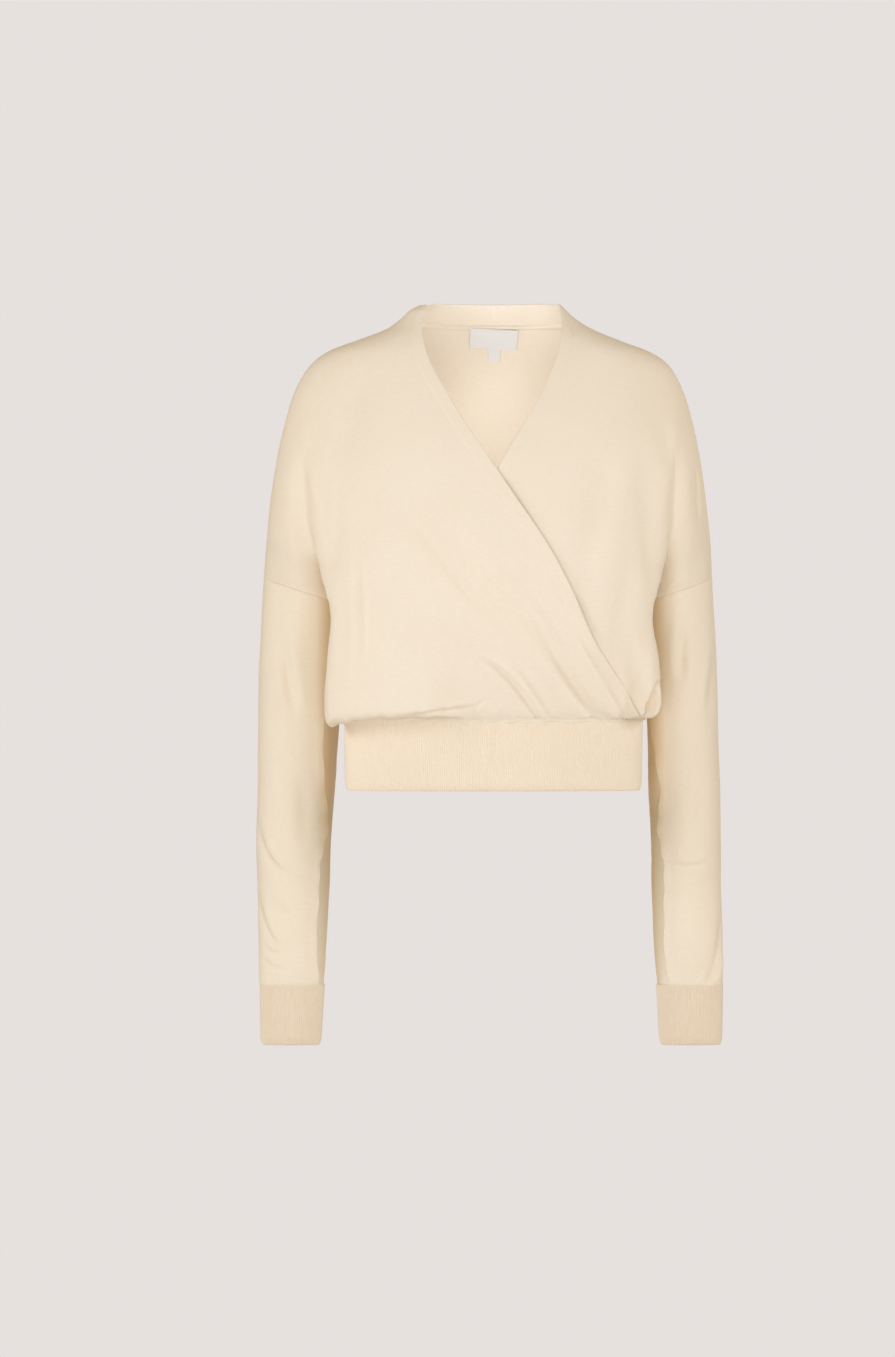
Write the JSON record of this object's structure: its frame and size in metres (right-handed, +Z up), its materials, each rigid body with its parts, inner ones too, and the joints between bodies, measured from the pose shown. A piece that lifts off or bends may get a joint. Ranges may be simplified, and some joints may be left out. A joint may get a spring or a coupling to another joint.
{
  "type": "wrap top",
  "caption": "Long-sleeved knitted wrap top: crossed fronts, dropped shoulders, back neckband, ribbed waistband and cuffs, filled out as if worn.",
  "frame": {"origin": "centre of the neck opening, level with the top edge of the back neckband, where a wearer's neck and shoulders hold the top up", "axes": "+Z up along the body, -Y out of the front, +X towards the wearer's left sleeve"},
  "size_m": [0.5017, 0.2309, 0.794],
  "materials": {
    "body_knit": "fine plain knit, matt, cream",
    "sleeve_knit": "fine plain knit, matt, cream",
    "rib_knit": "one by one rib, matt, cream",
    "label_cloth": "satin-woven label tape, white"
  },
  "bodies": {
    "root": {"front_right": "body_knit", "front_left": "body_knit", "back": "body_knit", "neckband_right": "body_knit", "neckband_left": "body_knit", "sleeve_right": "sleeve_knit", "sleeve_left": "sleeve_knit", "waistband": "rib_knit", "cuff_right": "rib_knit", "cuff_left": "rib_knit", "label_main": "label_cloth", "label_size": "label_cloth"}
  },
  "joints": []
}
